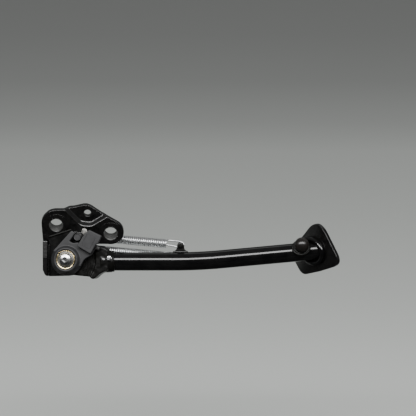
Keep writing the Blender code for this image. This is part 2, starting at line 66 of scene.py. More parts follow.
def mm(value):
    """Millimetres to metres, for a number or a vector."""
    return value * 0.001


# --------------------------------------------------------------------- frames

def frame_at(origin, x_axis, z_axis):
    """A frame from an origin in metres and two directions."""
    z = Vector(z_axis).normalized()
    y = z.cross(Vector(x_axis)).normalized()
    return Matrix.Translation(origin) @ Matrix((y.cross(z), y, z)).transposed().to_4x4()


def shifted(base, x=0.0, y=0.0, z=0.0):
    """A frame moved by millimetres along its own axes."""
    return base @ Matrix.Translation((mm(x), mm(y), mm(z)))


RIGHT = Vector((1.0, 0.0, 0.0))
HINGE = Vector(JOINTS["leg_fold"]["pos_m"])
OUTWARD = -Vector(JOINTS["leg_fold"]["axis"])
BRACKET = Matrix.Rotation(math.radians(90.0), 4, "X")
LEG = frame_at(HINGE, RIGHT, RIGHT.cross(OUTWARD.cross(RIGHT)))
PIVOT = frame_at(HINGE, RIGHT, OUTWARD)

# The plate's faces and its holes (x, y, radius), in the bracket's millimetres.
PLATE_BACK, PLATE_FRONT = 9.0, 15.0
HOLES = [(-29.3, 4.95, 7.0), (29.3, -4.95, 7.0), (4.4, 16.9, 3.8)]

# The tube runs straight into a soft bend and on to the foot, in the leg's millimetres.
TUBE_R = 10.0
TUBE_START = Vector((41.0, -1.94, 6.0))
TUBE_BEND = Vector((139.0, -1.94, 6.0))
TUBE_END = Vector((280.0, 11.0, 6.0))
BEND_HALF = 26.0
BEND_STEPS = 24

# FOOT_SLOPE is the cosine between the tube and the foot plate's normal.
FOOT_CENTRE = Vector((264.6, 9.6, 6.0))
FOOT_NORMAL = Vector((-0.74, -0.2, 0.64)).normalized()
FOOT_SLOPE = 0.755
FOOT_THICK = 4.0
FOOT = LEG @ frame_at(mm(FOOT_CENTRE), RIGHT, FOOT_NORMAL)
KNOB_ROOT = Vector((251.5, 8.4, 6.0))
KNOB_AXIS = (-0.0413, 0.45, 0.892)
KNOB = LEG @ frame_at(mm(KNOB_ROOT), RIGHT, KNOB_AXIS)

# Each spring: its anchor and its post in the leg's millimetres, then where along the
# line between them its coil begins and ends.
WIRE_R = 1.0
COIL_R = 4.0
COIL_PITCH = 2.16
STEPS_A_TURN = 24
LEAD_IN = 2.6  # how far along the spring its wire bends from a shank into the coil
LEAD_STEPS = 9
SHANK_GAP = 4.0  # from a shank's ends to its eye and its coil
EYE_R = 3.4
EYE_STEPS = 18
SPRINGS = {
    "upper": (Vector((-11.2, 27.4, -22.4)), Vector((120.2, 15.6, -9.5)), 62.0, 116.5),
    "lower": (Vector((-11.2, 14.5, -22.4)), Vector((117.4, 2.4, -9.5)), 50.5, 112.0),
}


# ------------------------------------------------------------------ materials

class Nodes:
    """A small helper that adds and joins the nodes of one material."""

    def __init__(self, name):
        self.material = bpy.data.materials.new(name)
        self.material.use_nodes = True
        self.tree = self.material.node_tree
        self.shader = self.tree.nodes["Principled BSDF"]
        self.place = self.add("ShaderNodeTexCoord").outputs["Object"]

    def add(self, kind, **inputs):
        node = self.tree.nodes.new(kind)
        for key, value in inputs.items():
            node.inputs[key.replace("_", " ")].default_value = value
        return node

    def link(self, output, socket):
        self.tree.links.new(output, socket)

    def noise(self, size_mm, detail=4.0, rough=0.55):
        """Noise whose features are about size_mm wide."""
        node = self.add("ShaderNodeTexNoise", Scale=1000.0 / size_mm, Detail=detail,
                        Roughness=rough)
        self.link(self.place, node.inputs["Vector"])
        return node.outputs["Fac"]

    def ramp(self, value, stops):
        """Colours picked by a value; each stop is (position, colour)."""
        node = self.add("ShaderNodeValToRGB")
        ramp = node.color_ramp
        while len(ramp.elements) < len(stops):
            ramp.elements.new(0.5)
        for element, (position, colour) in zip(ramp.elements, stops):
            element.position = position
            element.color = (*colour, 1.0)
        self.link(value, node.inputs["Fac"])
        return node.outputs["Color"]

    def spread(self, value, low, high):
        """A value from 0.3..0.7 spread over low..high."""
        node = self.add("ShaderNodeMapRange", From_Min=0.3, From_Max=0.7, To_Min=low, To_Max=high)
        self.link(value, node.inputs["Value"])
        return node.outputs["Result"]

    def bump(self, value, strength, distance_mm, under=None):
        """A normal that follows a value, on top of the normal under it."""
        node = self.add("ShaderNodeBump", Strength=strength, Distance=mm(distance_mm))
        self.link(value, node.inputs["Height"])
        if under:
            self.link(under, node.inputs["Normal"])
        return node.outputs["Normal"]

    def finish(self, colour=None, roughness=None, normal=None, **fixed):
        """The material, with its shader's sockets joined or set to fixed values."""
        for socket, output in (("Base Color", colour), ("Roughness", roughness),
                               ("Normal", normal)):
            if output is not None:
                self.link(output, self.shader.inputs[socket])
        for key, value in fixed.items():
            self.shader.inputs[key.replace("_", " ")].default_value = value
        return self.material


def make_gloss_black():
    n = Nodes("gloss_black_enamel")
    wide, fine, speck = n.noise(11.0), n.noise(1.3, 3.0), n.noise(0.5, 2.0)
    colour = n.ramp(wide, [(0.35, (0.0022, 0.0022, 0.0024)), (0.7, (0.0045, 0.0045, 0.0045))])
    dust = n.ramp(speck, [(0.72, (0.0, 0.0, 0.0)), (0.80, (0.018, 0.018, 0.017))])
    mix = n.add("ShaderNodeMixRGB", Fac=1.0)
    mix.blend_type = "ADD"
    n.link(colour, mix.inputs["Color1"])
    n.link(dust, mix.inputs["Color2"])
    normal = n.bump(fine, 0.05, 0.04, n.bump(wide, 0.06, 0.3))
    return n.finish(mix.outputs["Color"], n.spread(wide, 0.09, 0.15), normal, Metallic=0.0)


def make_plate_black():
    n = Nodes("plate_black_enamel")
    wide, mid, fine = n.noise(14.0), n.noise(3.6, 5.0), n.noise(0.9, 3.0)
    colour = n.ramp(mid, [(0.3, (0.0025, 0.0025, 0.0026)), (0.72, (0.0065, 0.0063, 0.006))])
    normal = n.bump(fine, 0.10, 0.06, n.bump(mid, 0.14, 0.35))
    return n.finish(colour, n.spread(wide, 0.15, 0.26), normal, Metallic=0.0)


def make_cast_black():
    n = Nodes("cast_black_enamel")
    wide, mid, fine = n.noise(12.0), n.noise(2.4, 6.0, 0.62), n.noise(0.7, 4.0)
    colour = n.ramp(mid, [(0.28, (0.0022, 0.0022, 0.002)), (0.6, (0.0045, 0.0044, 0.0038)),
                          (0.85, (0.010, 0.0095, 0.008))])
    normal = n.bump(fine, 0.2, 0.1, n.bump(mid, 0.22, 0.5))
    return n.finish(colour, n.spread(wide, 0.28, 0.42), normal, Metallic=0.0,
                    Specular_IOR_Level=0.2)


def make_dull_black():
    n = Nodes("dull_black_enamel")
    wide, fine = n.noise(6.0), n.noise(0.9, 4.0)
    colour = n.ramp(wide, [(0.3, (0.016, 0.016, 0.015)), (0.7, (0.032, 0.032, 0.03))])
    return n.finish(colour, n.spread(fine, 0.42, 0.58), n.bump(fine, 0.15, 0.06), Metallic=0.0)


def make_knob_paint():
    n = Nodes("knob_brown_black")
    wide, fine = n.noise(7.0), n.noise(1.1, 4.0)
    colour = n.ramp(wide, [(0.3, (0.006, 0.005, 0.0045)), (0.7, (0.011, 0.009, 0.008))])
    return n.finish(colour, n.spread(fine, 0.24, 0.36), n.bump(fine, 0.1, 0.06), Metallic=0.0)


def make_switch_plastic(name, low, high):
    n = Nodes(name)
    wide, fine = n.noise(7.0), n.noise(0.35, 3.0, 0.7)
    colour = n.ramp(wide, [(0.3, low), (0.72, high)])
    normal = n.bump(fine, 0.35, 0.09)
    return n.finish(colour, n.spread(wide, 0.46, 0.62), normal, Metallic=0.0)


def make_zinc(name, low, high, rough, size=2.2):
    n = Nodes(name)
    wide, fine = n.noise(size, 4.0), n.noise(0.3, 3.0)
    colour = n.ramp(wide, [(0.3, low), (0.7, high)])
    normal = n.bump(fine, 0.12, 0.05)
    return n.finish(colour, n.spread(wide, *rough), normal, Metallic=1.0)


def make_yellow_zinc():
    n = Nodes("yellow_zinc_plate")
    wide, fine = n.noise(3.0, 3.0), n.noise(0.4, 3.0)
    colour = n.ramp(wide, [(0.25, (0.55, 0.40, 0.17)), (0.5, (0.80, 0.66, 0.36)),
                           (0.75, (0.70, 0.58, 0.46))])
    return n.finish(colour, n.spread(wide, 0.2, 0.34), n.bump(fine, 0.15, 0.05), Metallic=1.0)


def make_turned_steel():
    n = Nodes("turned_steel")
    wide, fine = n.noise(4.0), n.noise(0.5, 4.0)
    colour = n.ramp(wide, [(0.3, (0.13, 0.13, 0.128)), (0.7, (0.24, 0.24, 0.235))])
    rings = n.add("ShaderNodeTexWave", Scale=420.0, Distortion=1.5)
    rings.wave_type = "BANDS"
    rings.bands_direction = "Y"
    n.link(n.place, rings.inputs["Vector"])
    normal = n.bump(rings.outputs["Fac"], 0.12, 0.05, n.bump(fine, 0.15, 0.05))
    return n.finish(colour, n.spread(wide, 0.3, 0.45), normal, Metallic=0.85)


def make_rubber():
    n = Nodes("black_rubber")
    wide, fine = n.noise(3.0), n.noise(0.5)
    colour = n.ramp(wide, [(0.3, (0.012, 0.012, 0.012)), (0.7, (0.026, 0.026, 0.025))])
    return n.finish(colour, n.spread(wide, 0.6, 0.8), n.bump(fine, 0.3, 0.1), Metallic=0.0)


def make_bronze():
    n = Nodes("sintered_bronze")
    wide, fine = n.noise(1.2), n.noise(0.3)
    colour = n.ramp(wide, [(0.3, (0.40, 0.25, 0.11)), (0.7, (0.58, 0.40, 0.2))])
    return n.finish(colour, n.spread(wide, 0.35, 0.5), n.bump(fine, 0.3, 0.08), Metallic=1.0)


GLOSS = make_gloss_black()
PLATE = make_plate_black()
CAST = make_cast_black()
DULL = make_dull_black()
KNOB_PAINT = make_knob_paint()
PLASTIC = make_switch_plastic("switch_plastic_grain", (0.012, 0.012, 0.013),
                              (0.023, 0.023, 0.0245))
# a darker copy of the switch plastic: painted shade, used for the shadow line under the connector
# block and for the rotor inside the switch
SHADE_DARK_PLASTIC = make_switch_plastic("switch_plastic_painted_shade", (0.008, 0.008, 0.009),
                                    (0.014, 0.014, 0.015))
ZINC = make_zinc("spring_zinc", (0.50, 0.51, 0.52), (0.74, 0.75, 0.75), (0.3, 0.42))
SCREW_ZINC = make_zinc("screw_zinc", (0.74, 0.75, 0.76), (0.93, 0.93, 0.93), (0.18, 0.28), 1.4)
BARE = make_zinc("bare_bright_steel", (0.16, 0.16, 0.15), (0.34, 0.33, 0.31), (0.3, 0.48), 1.6)
YELLOW = make_yellow_zinc()
TURNED = make_turned_steel()
RUBBER = make_rubber()
BRONZE = make_bronze()


# -------------------------------------------------------------- mesh building

SAME_POINT = 1e-7  # metres
BEAD_STEP = 0.45


def in_scene(name, data):
    """A new object in the scene."""
    made = bpy.data.objects.new(name, data)
    bpy.context.scene.collection.objects.link(made)
    return made


def piece(name, mesh, place, finish, body, *nodes, sharp=38.0):
    """A finished piece: its material, the body it rides on and the nodes it stands for."""
    mesh.name = name
    mesh.transform(place)
    mesh.shade_smooth()
    mesh.set_sharp_from_angle(angle=math.radians(sharp))
    mesh.materials.clear()
    mesh.materials.append(finish)
    made = in_scene(name, mesh)
    if nodes:
        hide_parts(*nodes)
    if body:
        bpy.context.view_layer.update()
        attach(made, body)
    return made


def to_mesh(bm):
    """A bmesh, cleaned, as a mesh with outward faces."""
    bmesh.ops.remove_doubles(bm, verts=bm.verts, dist=SAME_POINT)
    bmesh.ops.recalc_face_normals(bm, faces=bm.faces)
    mesh = bpy.data.meshes.new("made")
    bm.to_mesh(mesh)
    bm.free()
    return mesh


def modified(mesh, place, *steps):
    """A mesh after modifiers; each step is (kind, {setting: value})."""
    made = in_scene("work", mesh)
    made.matrix_world = place
    for kind, settings in steps:
        modifier = made.modifiers.new(kind.lower(), kind)
        for key, value in settings.items():
            setattr(modifier, key, value)
    bpy.context.view_layer.update()
    graph = bpy.context.evaluated_depsgraph_get()
    result = bpy.data.meshes.new_from_object(made.evaluated_get(graph))
    bpy.data.objects.remove(made)
    return result


def bevel(width, angle=30.0):
    """The modifier step that rounds edges sharper than an angle in degrees."""
    return ("BEVEL", {"width": mm(width), "segments": 3, "limit_method": "ANGLE",
                      "angle_limit": math.radians(angle)})


def remeshed(mesh, place, voxel, rounds):
    """A mesh rebuilt from voxels, then smoothed, so that its edges are rounded."""
    return modified(mesh, place, ("REMESH", {"mode": "VOXEL", "voxel_size": mm(voxel)}),
                    ("SMOOTH", {"factor": 0.5, "iterations": rounds}))


def cad_mesh(node, place):
    """A copy of a CAD node's mesh in the local metres of a frame."""
    mesh = frame["nodes"][node].data.copy()
    mesh.transform(place.inverted())
    return mesh


def softened(node, place, voxel, rounds):
    """A CAD node's shape, remeshed in a frame so that its edges are rounded."""
    return remeshed(cad_mesh(node, place), place, voxel, rounds)


def bevelled(node, place, width):
    """A CAD node's shape with its edges rounded over."""
    return modified(cad_mesh(node, place), place, ("WELD", {"merge_threshold": 1e-6}),
                    bevel(width, 40.0))


def rounded(corners, closed=True, steps=5):
    """An outline through corners given as (x, y, radius), in millimetres."""
    points = []
    for i, (x, y, radius) in enumerate(corners):
        here = Vector((x, y))
        ends = not closed and i in (0, len(corners) - 1)
        if radius <= 0.0 or ends:
            points.append(here)
            continue
        before = Vector(corners[i - 1][:2]) - here
        after = Vector(corners[(i + 1) % len(corners)][:2]) - here
        half = before.angle(after) / 2.0
        reach = min(radius / math.tan(half), 0.49 * before.length, 0.49 * after.length)
        start, end = here + before.normalized() * reach, here + after.normalized() * reach
        for k in range(steps + 1):
            t = k / steps
            points.append(start * (1 - t) ** 2 + here * 2 * t * (1 - t) + end * t ** 2)
    return points


def lathe(profile, sides=96):
    """A body turned about local Z. Profile corners are (radius, height, rounding)."""
    closed = profile[0][0] > 0.0
    points = rounded(profile, closed)
    bm = bmesh.new()
    rows = []
    for radius, height in points:
        if radius <= 1e-6:
            rows.append([bm.verts.new((0.0, 0.0, mm(height)))] * sides)
        else:
            rows.append([bm.verts.new((mm(radius) * math.cos(math.tau * k / sides),
                                       mm(radius) * math.sin(math.tau * k / sides),
                                       mm(height))) for k in range(sides)])
    for i in range(len(rows) if closed else len(rows) - 1):
        near, far = rows[i], rows[(i + 1) % len(rows)]
        for k in range(sides):
            loop = [near[k], near[(k + 1) % sides], far[(k + 1) % sides], far[k]]
            loop = list(dict.fromkeys(loop))
            if len(loop) > 2:
                bm.faces.new(loop)
    return to_mesh(bm)


def rod(radius, low, high, sides=96):
    """A plain bar along local Z."""
    return lathe([(0.0, low, 0.0), (radius, low, 0.0), (radius, high, 0.0),
                  (0.0, high, 0.0)], sides)


def circle(radius, height, count):
    """Points on a circle about local Z."""
    return [(radius * math.cos(a), radius * math.sin(a), height)
            for a in (math.tau * k / count for k in range(count))]


def hexagon(radius, turn=0):
    """The corners of a hexagon for prism(), turned by whole degrees."""
    return [(radius * math.cos(math.radians(a)), radius * math.sin(math.radians(a)), 0.0)
            for a in range(turn, 360 + turn, 60)]


def prism(corners, low, high, steps=5):
    """A slab with a rounded outline between two heights."""
    bm = bmesh.new()
    outline = rounded(corners, True, steps)
    face = bm.faces.new([bm.verts.new((mm(p.x), mm(p.y), mm(low))) for p in outline])
    top = bmesh.ops.extrude_face_region(bm, geom=[face])["geom"]
    moved = [v for v in top if isinstance(v, bmesh.types.BMVert)]
    bmesh.ops.translate(bm, verts=moved, vec=(0.0, 0.0, mm(high - low)))
    return to_mesh(bm)


def swept(points, radius, sides, closed=False):
    """A round bar along points in metres. Its radius, in millimetres, is a number or a
    function of the step."""
    bm = bmesh.new()
    rows = []
    side = None
    last = len(points) - 1
    for i, point in enumerate(points):
        if closed:
            ahead = (points[(i + 1) % len(points)] - points[i - 1]).normalized()
        else:
            ahead = (points[min(i + 1, last)] - points[max(i - 1, 0)]).normalized()
        side = ahead.orthogonal() if side is None else side
        side = (side - ahead * side.dot(ahead)).normalized()
        up = ahead.cross(side)
        size = mm(radius(i) if callable(radius) else radius)
        rows.append([bm.verts.new(point + (side * math.cos(math.tau * k / sides)
                                           + up * math.sin(math.tau * k / sides)) * size)
                     for k in range(sides)])
    pairs = list(zip(rows, rows[1:]))
    if closed:
        pairs.append((rows[-1], rows[0]))
    else:
        bm.faces.new(rows[0])
        bm.faces.new(rows[-1])
    for near, far in pairs:
        for k in range(sides):
            bm.faces.new([near[k], near[(k + 1) % sides], far[(k + 1) % sides], far[k]])
    return to_mesh(bm)


def cut(mesh, tool, tool_place, place):
    """A mesh with another cut out of it."""
    cutter = in_scene("cutter", tool)
    cutter.matrix_world = tool_place
    result = modified(mesh, place, ("BOOLEAN", {"operation": "DIFFERENCE", "object": cutter,
                                                "solver": "EXACT"}))
    bpy.data.objects.remove(cutter)
    return result


def roughened(mesh, size, depth, seed):
    """A mesh whose surface wanders in and out over a size, like a forging's scale."""
    shift = Vector((seed * 7.3, seed * 3.1, seed * 5.7))
    for vertex in mesh.vertices:
        spot = vertex.co * (1000.0 / size) + shift
        amount = noise.noise(spot) * 0.7 + noise.noise(spot * 2.7) * 0.3
        vertex.co = vertex.co + vertex.normal * mm(depth) * amount
    return mesh


def evenly(points, step):
    """Points spaced evenly along a line of points; all in millimetres."""
    result = [points[0]]
    carry = 0.0
    for a, b in zip(points, points[1:]):
        length = (b - a).length
        along = step - carry
        while along <= length:
            result.append(a.lerp(b, along / length))
            along += step
        carry = length - (along - step)
    return result


def bead(name, points, radius, place, body, finish=CAST, closed=False, ripple=0.05):
    """A weld bead along points in the millimetres of a frame. Its ripples are a share of
    its radius, and an open bead tapers at its ends."""
    route = evenly([Vector(p) for p in points], BEAD_STEP)
    count = len(route)

    def size(i):
        ends = 1.0 if closed else min(1.0, 0.45 + 0.25 * min(i, count - 1 - i))
        wander = noise.noise(Vector((i * 0.11, radius, count * 0.37)))
        return radius * ends * (1.0 + ripple * math.sin(i * 1.2) + 1.6 * ripple * wander)

    mesh = swept([mm(p) for p in route], size, 14, closed)
    return piece(name, mesh, place, finish, body, sharp=80.0)


# -------------------------------------------------------------------- bracket

TAB_DEPTH = 5.0
FOLD_WIDTH = 5.2
FOLD_EARLY = 0.6  # how far outside its line a fold begins
FOLD_BLEND = 1.3  # how sharply neighbouring folds meet, per millimetre
LOBE_X, LOBE_Y, LOBE_R = 29.6, -4.0, 13.9  # the plate's rounded end by the right hole
LOBE_STEPS = 14
RIDGES = 12
RIDGE_PITCH = 1.45


def fold_depth(x, y):
    """How far the tab's smooth joggle sets a point of the plate back, in millimetres."""
    folds = [(-20.5, 22.9, -3.5, 4.0), (-3.5, 4.0, 8.5, 2.6), (8.5, 2.6, 26.5, 14.2)]
    total = 0.0
    for x0, y0, x1, y1 in folds:
        length = math.hypot(x1 - x0, y1 - y0)
        inside = ((x1 - x0) * (y - y0) - (y1 - y0) * (x - x0)) / length
        total += math.exp(-FOLD_BLEND * (inside + FOLD_EARLY))
    across = -math.log(total) / FOLD_BLEND / FOLD_WIDTH
    across = min(max(across, 0.0), 1.0)
    return TAB_DEPTH * across * across * (3.0 - 2.0 * across)


def bracket_skin():
    """The pressed plate: a flat blank with rounded edges, holed, then joggled."""
    corners = [(-20.5, 22.9, 8), (-35.8, 22.5, 14), (-45.6, 12.0, 14), (-44.2, -9.5, 12),
               (-43.2, -23.5, 2), (-35.0, -23.5, 1), (-32.0, -16.2, 2), (14.0, -17.6, 6)]
    corners += [(LOBE_X + LOBE_R * math.cos(a), LOBE_Y + LOBE_R * math.sin(a), 0.0)
                for a in (math.radians(-95.0 + 150.0 * k / LOBE_STEPS)
                          for k in range(LOBE_STEPS + 1))]
    corners += [(26.5, 14.2, 3), (20.5, 15.7, 3), (8.4, 24.5, 5), (4.6, 26.2, 4),
                (0.2, 26.2, 5), (-10.1, 23.7, 8)]
    blank = prism(corners, PLATE_BACK, PLATE_FRONT)
    for x, y, radius in HOLES:
        blank = cut(blank, rod(radius, 0.0, 20.0), shifted(BRACKET, x, y), BRACKET)
    blank = remeshed(blank, BRACKET, 0.45, 14)
    for vertex in blank.vertices:
        x, y, z = vertex.co * 1000.0
        vertex.co.z = mm(z - fold_depth(x, y))
    return blank


def make_bracket():
    piece("bracket_plate_skin", bracket_skin(), BRACKET, PLATE, "bracket", "bracket_plate")
    piece("pivot_lug_skin", softened("pivot_lug", PIVOT, 0.5, 6), PIVOT, PLATE, "bracket",
          "pivot_lug")
    piece("side_flange_skin", softened("side_flange", PIVOT, 0.45, 5), PIVOT, PLATE, "bracket",
          "side_flange")
    ridge = [Vector((mm(x), 0.0, mm(-0.18))) for x in (-2.1, -1.2, 0.0, 1.2, 2.1)]
    for k in range(RIDGES):
        place = shifted(PIVOT, -24.4, 18.6 - RIDGE_PITCH * k, 11.0)
        piece(f"flange_ridge_{k + 1}", swept(ridge, 0.42, 8), place, DULL, "bracket")
    for side in ("left", "right"):
        low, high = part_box(side + "_spacer_bush")
        centre = (low + high) / 2.0
        place = frame_at(Vector((centre.x, 0.0, centre.z)), RIGHT, (0.0, -1.0, 0.0))
        bush = [(6.85, 0.0, 0.4), (9.0, 0.0, 0.5), (9.0, 8.7, 0.3), (6.98, 8.7, 0.0),
                (6.98, 14.0, 0.0), (7.7, 14.9, 0.0), (7.6, 15.1, 0.1), (7.2, 15.0, 0.2),
                (6.85, 14.3, 0.2)]
        piece(side + "_bush_turned", lathe(bush), place, TURNED, "bracket",
              side + "_spacer_bush")
        seat = [(7.6, 14.6, 0.0), (12.8, 14.6, 0.0), (12.8, 15.05, 0.2), (12.4, 15.18, 0.2),
                (8.0, 15.18, 0.2), (7.6, 14.9, 0.2)]
        piece(side + "_bolt_seat", lathe(seat), place, PLATE, "bracket")
        bead(side + "_bush_weld", circle(9.4, 8.3, 72), 0.8, place, "bracket", closed=True)
    bead("lug_top_weld", lug_weld_points(), 1.3, Matrix(), "bracket")
    bead("flange_weld", [(-21.6, -14.0, 3.2), (-21.6, 17.0, 3.2)], 1.5, PIVOT, "bracket")


def lug_weld_points():
    """Where the lug's front face runs into the bracket plate's front face, in mm."""
    along = PIVOT.to_3x3() @ Vector((0.0, 1.0, 0.0))
    points = []
    for k in range(9):
        start = PIVOT @ Vector((mm(-22.0 + 3.2 * k), 0.0, mm(3.0)))
        reach = (-mm(PLATE_FRONT) - start.y) / along.y
        points.append((start + along * reach) * 1000.0)
    return points


def make_small_bracket_parts():
    peg = [(0.0, 3.3, 0.0), (5.0, 3.3, 0.0), (5.0, 4.6, 0.4), (3.9, 5.4, 0.4), (3.9, 19.0, 0.5),
           (3.4, 19.5, 0.2), (2.9, 19.2, 0.2), (0.0, 19.3, 0.0)]
    piece("locating_peg_turned", lathe(peg, 64), shifted(PIVOT, 12.3, 24.2), PLASTIC, "bracket",
          "locating_peg")
    piece("keeper_clip_bright", bevelled("keeper_clip", PIVOT, 0.35), PIVOT, BARE, "bracket",
          "keeper_clip")
    pin = [(0.0, 3.3, 0.0), (2.8, 3.3, 0.0), (2.8, 9.5, 0.5), (0.0, 9.5, 0.0)]
    piece("fold_stop_turned", lathe(pin, 64), shifted(PIVOT, 22.0, 19.2), CAST, "bracket",
          "fold_stop_pin")
    for side, base in (("upper", -5.2), ("lower", -3.3)):
        place = spring_frame(side)
        local = (PIVOT.inverted() @ place.translation) * 1000.0
        hook = local.z
        stud = [(0.0, hook - 3.0, 0.0), (3.4, hook - 3.0, 0.5), (3.4, hook - 1.4, 0.3),
                (2.2, hook - 1.2, 0.3), (2.2, hook + 1.2, 0.3), (2.5, hook + 1.6, 0.3),
                (2.5, base, 0.0), (0.0, base, 0.0)]
        spot = shifted(PIVOT, local.x, local.y)
        piece(side + "_anchor_turned", lathe(stud, 64), spot, CAST, "bracket",
              side + "_spring_anchor")
        bead(side + "_anchor_weld", circle(2.9, base - 0.2, 48), 1.0, spot, "bracket",
             closed=True)


# The bolt shows one turn of thread beyond the nut.
THREAD_END = -18.2
THREAD_PITCH = 0.78


def make_pivot():
    bolt = [(0.0, -18.5, 0.0), (4.2, -18.5, 0.3), (5.0, -17.7, 0.2), (5.0, -9.9, 0.0),
            (6.0, -9.9, 0.0), (6.0, 10.2, 0.0), (8.8, 10.2, 0.3), (8.8, 15.0, 0.6),
            (4.5, 15.0, 0.2), (4.5, 4.0, 0.0), (0.0, 4.0, 0.0)]
    piece("pivot_bolt_turned", lathe(bolt), PIVOT, SCREW_ZINC, "bracket", "pivot_bolt")
    crest = [Vector((mm(x), mm(y), mm(THREAD_END + THREAD_PITCH * k / 24)))
             for k, (x, y, _) in enumerate(circle(4.95, 0.0, 24))]
    piece("pivot_bolt_thread", swept(crest, 0.3, 6), PIVOT, SCREW_ZINC, "bracket")
    washer = [(5.4, -11.4, 0.2), (10.5, -11.4, 0.3), (10.5, -10.2, 0.3), (5.4, -10.2, 0.2)]
    piece("pivot_washer_pressed", lathe(washer), PIVOT, SCREW_ZINC, "bracket", "pivot_washer")
    nut = cut(prism(hexagon(9.8), -17.4, -11.7), rod(5.3, -20.0, -10.0), PIVOT, PIVOT)
    piece("pivot_nut_forged", modified(nut, PIVOT, bevel(0.4)), PIVOT, SCREW_ZINC, "bracket",
          "pivot_nut")
    bush = [(6.3, -3.0, 0.2), (8.3, -3.0, 0.2), (8.3, 3.0, 0.2), (6.3, 3.0, 0.2)]
    piece("pivot_bush_sintered", lathe(bush), PIVOT, BRONZE, "bracket", "pivot_bush")


# --------------------------------------------------------------------- switch

def make_switch():
    housing = softened("switch_housing", PIVOT, 0.38, 5)
    piece("switch_cover", housing, PIVOT, PLASTIC, "bracket", "switch_housing")
    lip = [(11.2, 21.5, 0.0), (12.7, 21.5, 0.0), (12.7, 22.15, 0.35), (11.9, 22.4, 0.35),
           (11.2, 22.15, 0.25)]
    piece("switch_cover_lip", lathe(lip, 128), PIVOT, PLASTIC, "bracket")
    piece("switch_block", softened("switch_connector", PIVOT, 0.36, 4), PIVOT, PLASTIC,
          "bracket", "switch_connector")
    panel = rounded([(17.4, 16.4, 1.2), (26.2, 11.4, 1.2), (33.0, 23.6, 1.2),
                     (24.4, 28.6, 1.2)])
    rim = [Vector((mm(p.x), mm(p.y), mm(23.0))) for p in panel]
    piece("switch_block_rim", swept(rim, 0.22, 8, closed=True), PIVOT, PLASTIC, "bracket",
          sharp=80.0)
    # a thin bead in the darker plastic along the block's lower edge: painted shadow line where
    # the block meets the cover
    seam = [Vector((x, y, 17.55)) for x, y in ((14.2, 12.6), (27.6, 5.3), (34.4, 16.2))]
    piece("switch_seam_painted_shadow", swept([mm(p) for p in evenly(seam, 0.6)], 0.4, 8), PIVOT,
          SHADE_DARK_PLASTIC, "bracket", sharp=80.0)
    piece("switch_gland", bevelled("cable_gland", PIVOT, 0.2), PIVOT, RUBBER, "bracket",
          "cable_gland")
    seal = [(13.4, 10.2, 0.4), (16.2, 10.2, 0.5), (16.2, 11.4, 0.5), (13.4, 11.4, 0.4)]
    piece("switch_seal_moulded", lathe(seal), PIVOT, RUBBER, "bracket", "switch_seal")
    ring = [(4.6, 20.6, 0.0), (10.2, 20.6, 0.2), (10.2, 22.0, 0.4), (9.75, 22.4, 0.35),
            (8.9, 22.1, 0.2), (8.9, 21.5, 0.1), (4.6, 21.5, 0.0)]
    piece("retaining_ring_pressed", lathe(ring, 128), PIVOT, YELLOW, "bracket",
          "retaining_ring")
    seat = [(4.6, 21.2, 0.0), (8.8, 21.2, 0.0), (8.8, 21.9, 0.2), (8.3, 22.1, 0.3),
            (7.7, 22.1, 0.2), (7.2, 22.5, 0.2), (4.6, 22.5, 0.0)]
    piece("retaining_ring_seat", lathe(seat, 128), PIVOT, TURNED, "bracket")
    screw = [(0.0, 5.0, 0.0), (4.0, 5.0, 0.3), (4.0, 22.6, 0.2), (7.3, 22.6, 0.3),
             (7.3, 23.6, 0.9), (6.0, 25.6, 1.6), (3.2, 26.55, 0.8), (0.0, 26.6, 0.0)]
    head = cut(lathe(screw), prism(hexagon(2.9, 10), 23.6, 30.0), PIVOT, PIVOT)
    piece("switch_screw_head", head, PIVOT, SCREW_ZINC, "bracket", "switch_screw")
    # the rotor takes the darker copy of the switch plastic: painted shade inside the switch
    rotor = [(9.2, 10.2, 0.2), (12.6, 10.2, 0.3), (12.6, 15.2, 0.3), (9.2, 15.2, 0.2)]
    piece("switch_rotor_moulded", lathe(rotor), PIVOT, SHADE_DARK_PLASTIC, "leg", "switch_rotor")


# ------------------------------------------------------------------------ leg

def tube_route():
    """Centre line of the tube, in the leg's millimetres."""
    first = (TUBE_BEND - TUBE_START).normalized()
    second = (TUBE_END - TUBE_BEND).normalized()
    begin, finish = TUBE_BEND - first * BEND_HALF, TUBE_BEND + second * BEND_HALF
    points = [TUBE_START]
    for k in range(BEND_STEPS + 1):
        t = k / BEND_STEPS
        points.append(begin * (1 - t) ** 2 + TUBE_BEND * 2 * t * (1 - t) + finish * t ** 2)
    return points + [TUBE_END]


def make_tube():
    """The tube, ended where it meets the foot plate."""
    bm = bmesh.new()
    bm.from_mesh(swept([mm(p) for p in tube_route()], TUBE_R, 96))
    parts = list(bm.verts) + list(bm.edges) + list(bm.faces)
    to_leg = LEG.inverted() @ FOOT  # from the foot's frame
    done = bmesh.ops.bisect_plane(bm, geom=parts, plane_co=to_leg @ Vector((0.0, 0.0, mm(0.1))),
                                  plane_no=-(to_leg.to_3x3() @ Vector((0.0, 0.0, 1.0))),
                                  clear_outer=True)
    edges = [e for e in done["geom_cut"] if isinstance(e, bmesh.types.BMEdge)]
    bmesh.ops.holes_fill(bm, edges=edges, sides=0)
    piece("leg_tube_drawn", to_mesh(bm), LEG, GLOSS, "leg", "leg_tube")


TURNING_MARKS = 4


